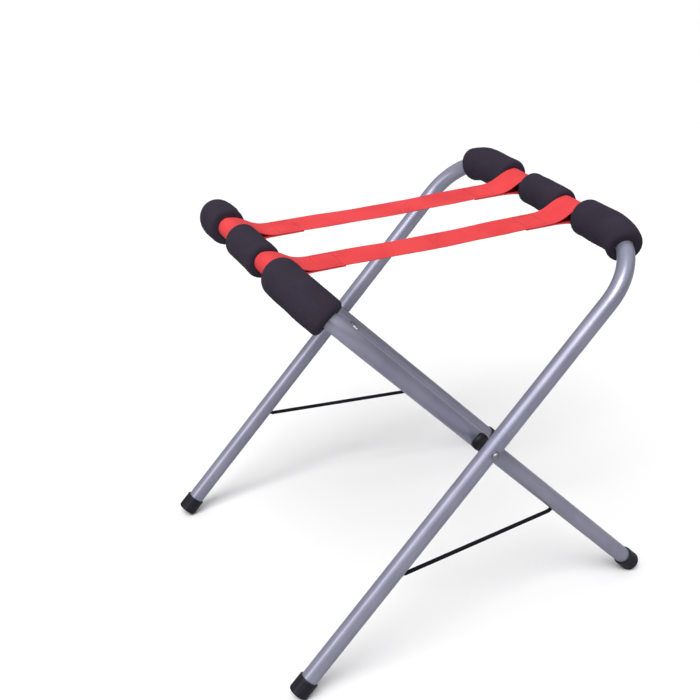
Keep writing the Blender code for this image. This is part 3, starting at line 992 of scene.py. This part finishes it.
def cut_cord_holes(tube, half, lean, direction):
    """Two short blind holes, made with a Boolean and then made final."""
    for side in SIDES.values():
        reach = np.array(CORD_HOLE_REACH) * direction
        centres = np.stack([reach, reach * 0 + side * half, reach * 0 - CORD_BELOW_PIVOT], axis=1)
        sideways, up = same_for_all((0, 1, 0), centres), same_for_all((0, 0, 1), centres)
        drill = carried(centres, sideways, up, CORD_HOLE_R, circle_angles(24))
        cutter = bpy.data.objects.new("drill", grid_mesh("drill", leaned(drill, lean)))
        scene.collection.objects.link(cutter)
        modifier = tube.modifiers.new("cord_hole", "BOOLEAN")
        modifier.operation = "DIFFERENCE"
        modifier.object = cutter
        bpy.context.view_layer.update()
        shaped = tube.evaluated_get(bpy.context.evaluated_depsgraph_get())
        mesh = bpy.data.meshes.new_from_object(shaped)
        tube.modifiers.remove(modifier)
        tube.data = mesh
        bpy.data.objects.remove(cutter)
    tube.data.shade_smooth()
    tube.data.set_sharp_from_angle(angle=SMOOTH_ANGLE)


for which, half in HALF.items():
    name = which + "_bent_tube"
    tube = make_piece(
        name, tube_mesh(name, half, LEANS[which]), paint, [which + "_frame"]
    )
    cut_cord_holes(tube, half, LEANS[which], FRAME_SIDE[which])
    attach(tube, which + "_frame")
    print(name, len(tube.data.polygons), "faces")

# %% [markdown]
# ## Foam sleeves
# The sleeves are soft closed-cell foam, pushed on from the tube's ends, and the
# outer ones follow the bend. A sleeve is a closed loop, its wall seen from
# the side, carried round the tube: along the outside, over a rounded edge, down
# the end face and back along the bore. The bore is a little larger than the
# tube, so the sleeve hangs a touch low on it. Slow waves in the radius keep it
# from looking turned on a lathe.

# %% Foam finish
foam, tree, shader, place = new_material("charcoal_foam", 0.9, specular=0.25)
drifted = drifting(tree, place, (0.034, 0.024, 0.043), (0.026, 0.021, 0.037), 26.0)
speckled = grained(tree, place, drifted["Colour"], 900.0, 0.5)
pores = add_node(
    tree, "ShaderNodeTexVoronoi", {"Vector": place, "Scale": 1300.0}
).outputs["Distance"]
deep = add_node(
    tree, "ShaderNodeMapRange", {"Value": pores, "From Min": 0.08, "From Max": 0.42}
).outputs[0]
# The pores are darker in colour where they sink, towards near black, by the same mask as the bump:
# painted shade in the pores.
pore_colour_with_painted_shade = mix_colour(tree, deep, (0.018, 0.015, 0.020, 1.0), speckled["Colour"])
tree.links.new(pore_colour_with_painted_shade, shader.inputs["Base Color"])
under = add_bump(tree, shader, deep, 0.00020, 0.7)
add_bump(tree, shader, speckled["Height"], 0.0004, 0.35, under)

# %% The sleeve's surface
FOAM_EDGE = 0.0068
FOAM_LAG = 0.12
FOAM_LAG_REACH = 0.05
FOAM_SQUEEZE = 0.0028
FOAM_PLAY = 0.0012
FOAM_WAVE = 0.00025
END_FOAM = (0.098, 0.2095, 0.0275)  # start and end along the tube, and radius
MIDDLE_FOAM = (-0.046, 0.046, 0.0245)


def sleeve_outline(start, end, bore, outer, edge):
    """A loop of (distance, radius): outside, rounded edge, end face, bore, and back."""
    quarter = np.linspace(0.0, np.pi / 2, 9)
    level = evenly(start + edge, end - edge, 0.004)
    bend_d = end - edge + edge * np.sin(quarter[1:])
    bend_r = outer - edge + edge * np.cos(quarter[1:])
    face_r = np.linspace(outer - edge, bore, 6)[1:]
    inner = evenly(end, start, 0.008)[1:-1]
    first_d = start + edge - edge * np.sin(quarter[::-1][:-1])
    first_r = outer - edge + edge * np.cos(quarter[::-1][:-1])
    distance = [level, bend_d, np.full(5, end), inner, np.full(5, start), first_d]
    radius = [
        np.full(len(level), outer),
        bend_r,
        face_r,
        np.full(len(inner), bore),
        face_r[::-1],
        first_r,
    ]
    return np.concatenate(distance), np.concatenate(radius)


def sleeve_mesh(name, half, lean, start, end, outer, seed):
    """A foam wall carried round the tube.

    Foam would rather stay straight where the tube bends. Its end face turns less
    than the tube does, so each point there slides along the line by its height
    towards the inside of the bend, times a lag. The wall on that inside is also
    pressed thinner.
    """
    distance, radius = sleeve_outline(start, end, TUBE_R + FOAM_PLAY, outer, FOAM_EDGE)
    angles = circle_angles(72)[None, :]
    distance, radius = distance[:, None], radius[:, None]
    bent = np.clip((np.abs(distance) - (half - BEND_RADIUS)) / FOAM_LAG_REACH, 0.0, 1.0)
    distance = distance - np.sign(distance) * FOAM_LAG * bent * radius * np.cos(angles)
    skin = np.clip((radius - TUBE_R) / (outer - TUBE_R), 0.0, 1.0)
    inside = np.maximum(-np.cos(angles), 0.0)
    radius = radius - FOAM_SQUEEZE * bent * skin * inside**2
    waves = np.sin(distance * 95 + 2 * angles + seed)
    waves = waves + 0.6 * np.sin(distance * 160 - 3 * angles + 2 * seed)
    radius = (radius + FOAM_WAVE * skin * waves)[..., None]
    centres, out, across = u_line(half, distance)
    angles = angles[..., None]
    grid = centres + radius * (np.cos(angles) * out + np.sin(angles) * across)
    grid = leaned(grid, lean)
    grid[..., 2] -= FOAM_PLAY - GAP / 3
    return grid_mesh(name, grid, rows_join=True)


for which, half in HALF.items():
    spans = {"middle": MIDDLE_FOAM}
    for side_name, side in SIDES.items():
        start, end, outer = END_FOAM
        spans[side_name] = (*sorted((side * start, side * end)), outer)
    for seed, (place_name, (start, end, outer)) in enumerate(spans.items()):
        name = f"{which}_{place_name}_sleeve"
        mesh = sleeve_mesh(name, half, LEANS[which], start, end, outer, seed + half * 10)
        sleeve = make_piece(
            name, mesh, foam, [f"{which}_frame_{place_name}_foam"]
        )
        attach(sleeve, which + "_frame")
print("six foam sleeves")

# %% [markdown]
# ## Foot caps
# Each leg ends in a moulded rubber cap. It is a turned shape with shallow flutes
# down its side: the radius dips with the cosine of the angle, and the dip fades
# out towards the mouth and the rounded lower edge. The leg leans, so the lowest
# edge is worn to a flat on the floor: no point goes below it.

# %% Rubber finish
rubber, tree, shader, place = new_material("cap_rubber", 0.5, specular=0.35)
drifted = drifting(tree, place, (0.005, 0.005, 0.010), (0.009, 0.008, 0.015), 60.0)
rubbed = use_group(
    tree, rub, Vector=place, Fades_at_height=0.022, Flecks_per_metre=420.0, Least=0.08
)
worn = mix_colour(tree, rubbed["Mask"], drifted["Colour"], (0.075, 0.072, 0.072, 1.0))
speckled = grained(tree, place, worn, 2600.0, 0.3)
tree.links.new(speckled["Colour"], shader.inputs["Base Color"])
rough_between(tree, shader, rubbed["Mask"], 0.46, 0.8)
add_bump(tree, shader, speckled["Height"], 0.00008, 0.5)

# %% The caps
CAP_R = 0.015
CAP_LENGTH = 0.027
CAP_EDGE = 0.003
CAP_LIP = 0.001
FLUTES = 20
FLUTE_DEPTH = 0.00045
FLUTE_SPAN = (0.0035, 0.0225)  # heights where the flutes start to fade in and out
FLUTE_FADE = 0.002


def arc_points(centre, radius, start, end, count):
    """Points (radius, height) of an arc, from one angle to another."""
    angle = np.linspace(start, end, count)
    return np.stack(
        [centre[0] + radius * np.cos(angle), centre[1] + radius * np.sin(angle)], axis=1
    )


def cap_outline():
    """(radius, height) from the cap's inner floor, over its mouth, to its sole."""
    bore = TUBE_R + GAP
    inside = [(bore / 2, CAP_FLOOR), (bore, CAP_FLOOR)]
    wall = np.stack([np.full(5, bore), np.linspace(CAP_FLOOR, CAP_LENGTH - 0.0004, 6)[1:]], axis=1)
    mouth = arc_points((CAP_R - CAP_LIP, CAP_LENGTH - CAP_LIP), CAP_LIP, np.pi / 2, 0.0, 6)
    side = np.stack([np.full(16, CAP_R), np.linspace(CAP_LENGTH - CAP_LIP, CAP_EDGE, 18)[1:-1]], axis=1)
    edge = arc_points((CAP_R - CAP_EDGE, CAP_EDGE), CAP_EDGE, 0.0, -np.pi / 2, 9)
    sole = [(CAP_R * 0.55, 0.0), (CAP_R * 0.25, 0.0)]
    return np.concatenate([inside, wall, mouth, side, edge, sole])


def cap_mesh(name, half, lean, side):
    """The cap's outline turned about the leg, less the flutes' cosine dip."""
    outline = cap_outline()
    angles = circle_angles(6 * FLUTES)
    radius, height = outline[:, 0], outline[:, 1]
    fade = np.clip((height - FLUTE_SPAN[0]) / FLUTE_FADE, 0, 1)
    fade = fade * np.clip((FLUTE_SPAN[1] - height) / FLUTE_FADE, 0, 1)
    fade = fade * (radius > TUBE_R + 2 * GAP)
    dip = FLUTE_DEPTH * fade[:, None] * (0.5 - 0.5 * np.cos(FLUTES * angles[None, :]))
    centres = np.stack([0 * height, 0 * height + side * half, height - LEG_BELOW], axis=1)
    sideways, ahead = same_for_all((0, 1, 0), centres), same_for_all((1, 0, 0), centres)
    grid = leaned(carried(centres, sideways, ahead, radius[:, None] - dip, angles), lean)
    grid[..., 2] = np.maximum(grid[..., 2], 0.0)
    return grid_mesh(name, grid)


for which, half in HALF.items():
    for side_name, side in SIDES.items():
        name = f"{which}_{side_name}_cap"
        cap = make_piece(
            name, cap_mesh(name, half, LEANS[which], side), rubber,
            [f"{which}_frame_{side_name}_foot"],
        )
        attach(cap, which + "_frame")
print("four foot caps with", FLUTES, "flutes each")

# %% [markdown]
# ## Pivots
# One bolt on each side goes through both legs. Between the legs sit two nylon
# saddles, one hugging each tube, which turn on each other at a narrow waist.
# Outside there is a dome head on a washer, and inside a washer, a lock nut with
# its nylon collar, and the threaded end of the bolt. All of them are turned
# about the bolt, so each is an outline of (radius, height) with a radius or a
# height that also depends on the angle: the thread's ridge climbs one pitch a
# turn, and the nut's side is flat where the cosine says so.

# %% Steel and nylon finishes
steel, tree, shader, place = new_material("zinc_steel", 0.38, metallic=1.0)
drifted = drifting(tree, place, (0.40, 0.395, 0.42), (0.30, 0.30, 0.33), 180.0)
speckled = grained(tree, place, drifted["Colour"], 4200.0, 0.25)
tree.links.new(speckled["Colour"], shader.inputs["Base Color"])
rough_between(tree, shader, drifted["Patch"], 0.32, 0.46)
add_bump(tree, shader, speckled["Height"], 0.00002, 0.5)

nylon, tree, shader, place = new_material("black_nylon", 0.5, specular=0.25)
drifted = drifting(tree, place, (0.005, 0.005, 0.009), (0.009, 0.009, 0.014), 90.0)
speckled = grained(tree, place, drifted["Colour"], 1900.0, 0.3)
tree.links.new(speckled["Colour"], shader.inputs["Base Color"])
add_bump(tree, shader, speckled["Height"], 0.00009, 0.5)

# %% Turning about the bolt
BOLT_R = 0.003
BORE_R = 0.0034
HEAD_R = 0.00625
HEAD_HEIGHT = 0.0048
WASHER_R = 0.00675
NUT_CORNER_R = 0.00575
THREAD_PITCH = 0.001
THREAD_DEPTH = 0.00045


def about_bolt(radius, angles, height, side):
    """Points round the bolt; height grows outwards along the pivot axis."""
    x = radius * np.cos(angles)
    z = PIVOT_HEIGHT + radius * np.sin(angles)
    y = np.broadcast_to(side * np.asarray(height), x.shape)
    return np.stack([x, y, z], axis=-1)


def turned_mesh(name, outline, side, sides=48, ring=False):
    """An outline of (radius, height) turned about the bolt."""
    outline = np.asarray(outline)
    angles = circle_angles(sides)[None, :]
    radius = outline[:, :1] + 0 * angles
    return grid_mesh(name, about_bolt(radius, angles, outline[:, 1:2], side), rows_join=ring)


def span(node):
    """The two distances of a solid's ends from the rack's middle plane."""
    low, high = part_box(node)
    return sorted((abs(low.y), abs(high.y)))


def rounded_ring(inner, outer, low, high, edge):
    """A washer's section: a rectangle whose outer corners are rounded."""
    top = arc_points((outer - edge, high - edge), edge, np.pi / 2, 0.0, 5)
    bottom = arc_points((outer - edge, low + edge), edge, 0.0, -np.pi / 2, 5)
    return np.concatenate([[(inner, low), (inner, high)], top, bottom])


def bolt_mesh(name, side):
    """A dome, a plain shank, and a thread.

    Along the thread the radius dips by a triangle wave of the height over the
    pitch plus the share of a turn, so that the ridge climbs as it goes round.
    """
    low, high = span(name)
    seat = high - HEAD_HEIGHT
    dome = np.linspace(0.12, np.pi / 2, 12)
    head = np.stack([HEAD_R * np.sin(dome), seat + HEAD_HEIGHT * np.cos(dome)], axis=1)
    under = [(HEAD_R, seat - 0.00005), (BOLT_R, seat - 0.0001)]
    plain_end = low + 0.030
    shank = np.stack([np.full(6, BOLT_R), np.linspace(seat - 0.001, plain_end, 6)], axis=1)
    heights = np.arange(plain_end - 0.0001, low + 0.0006, -THREAD_PITCH / 8)
    thread_line = np.stack([np.full(len(heights), BOLT_R), heights], axis=1)
    tip = [(BOLT_R - 0.0006, low + 0.0002), (BOLT_R - 0.0008, low)]
    outline = np.concatenate([head, under, shank, thread_line, tip])
    angles = circle_angles(32)[None, :]
    height = outline[:, 1:2]
    phase = height / THREAD_PITCH + angles / (2 * np.pi)
    wave = 2 * np.abs(phase - np.floor(phase) - 0.5)
    threaded = (height < plain_end) & (height > low + 0.0004)
    radius = outline[:, :1] - THREAD_DEPTH * wave * threaded
    return grid_mesh(name, about_bolt(radius, angles, height, side))


def nut_mesh(name, side):
    """Flat sides where the radius is the flat's distance over a cosine.

    A cone cuts the corners at both ends, and a round collar stands on the inner
    end.
    """
    low, high = span(name)
    collar = 0.0016
    flat = NUT_CORNER_R * math.cos(np.pi / 6)
    angles = circle_angles(72)[None, :]
    side_r = flat / np.cos((angles + np.pi / 6) % (np.pi / 3) - np.pi / 6)
    heights = np.linspace(low + collar, high, 14)
    from_end = np.minimum(heights - heights[0], high - heights)[:, None]
    body = np.minimum(side_r, flat - 0.0001 + 1.8 * from_end)
    inner = np.full((2, 72), BOLT_R + 0.0001)
    round_r = flat * 0.93
    bead = arc_points((round_r - 0.0008, low + 0.0008), 0.0008, -np.pi / 2, 0.0, 6)
    bead_r = np.broadcast_to(bead[:, :1], (6, 72))
    step = np.full((1, 72), round_r)
    radius = np.concatenate([inner[:1], bead_r, step, body, inner[1:]])
    rows = np.concatenate([[low], bead[:, 1], [low + collar], heights, [high]])
    return grid_mesh(
        name, about_bolt(radius, angles, rows[:, None], side), rows_join=True
    )


def saddle_mesh(name, which, side):
    """A drum whose end is cut by the tube that it hugs.

    The rows run from the waist out to the rim and over the end to the bore. On
    the end, the height is the leg's centre less the root of the tube's radius
    squared, minus the offset from the leg squared, where the offset is the
    radius times the sine of the angle from the leg's own direction.
    """
    middle = (HALF["outer"] + HALF["inner"]) / 2
    away = 1 if which == "outer" else -1
    reach = abs(HALF[which] - middle)
    low, high = span(name)
    hug = high - low
    waist_r, rim_r, waist = 0.0095, 0.0125, 0.0022
    angles = circle_angles(72)[None, :]
    leg = math.pi / 2 - LEANS[which]
    seat_r = TUBE_R + GAP

    def end_height(radius):
        offset = radius * np.sin(angles - leg)
        room = np.sqrt(np.maximum(seat_r**2 - offset**2, 0.0))
        return np.minimum(reach - room, hug)

    flank = waist + rim_r - waist_r
    rim_radius = np.full((1, 72), rim_r)
    rows = [
        (BORE_R, GAP / 2), (waist_r, GAP / 2), (waist_r, waist),
        (rim_r - 0.0003, flank - 0.0003), (rim_r, flank + 0.0003),
    ]
    radius = [np.full((1, 72), r) for r, _ in rows]
    height = [np.full((1, 72), h) for _, h in rows]
    top = end_height(rim_radius)
    for share in (0.35, 0.7, 0.94):
        radius.append(rim_radius)
        height.append(flank + share * (top - flank))
    for r in np.linspace(rim_r - 0.0004, BORE_R, 14):
        ring = np.full((1, 72), r)
        radius.append(ring)
        height.append(end_height(ring))
    radius, height = np.concatenate(radius), np.concatenate(height)
    grid = about_bolt(radius, angles, middle + away * height, side)
    return grid_mesh(name, grid, rows_join=True)


# %% The two pivots
for side_name, side in SIDES.items():
    pieces = {
        f"{side_name}_pivot_bolt": bolt_mesh(f"{side_name}_pivot_bolt", side),
        f"{side_name}_lock_nut": nut_mesh(f"{side_name}_lock_nut", side),
    }
    for place_name in ("outer", "inner"):
        name = f"{side_name}_{place_name}_washer"
        ring = rounded_ring(BORE_R, WASHER_R, *span(name), 0.0004)
        pieces[name] = turned_mesh(name, ring, side, ring=True)
    for node, mesh in pieces.items():
        piece = make_piece("bright_" + node, mesh, steel, [node])
        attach(piece, "outer_frame")
    for which in HALF:
        node = f"{side_name}_{which}_saddle"
        saddle = make_piece(
            "moulded_" + node, saddle_mesh(node, which, side), nylon, [node]
        )
        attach(saddle, which + "_frame")
print("two pivots of six pieces")

# %% [markdown]
# ## Tidying up
# The single stitch that every seam was copied from is removed. The visible
# rack has to stay in the model's own box, apart from a little that soft pieces
# may stand proud.

# %% Remove the spare stitch
bpy.data.meshes.remove(one_stitch)
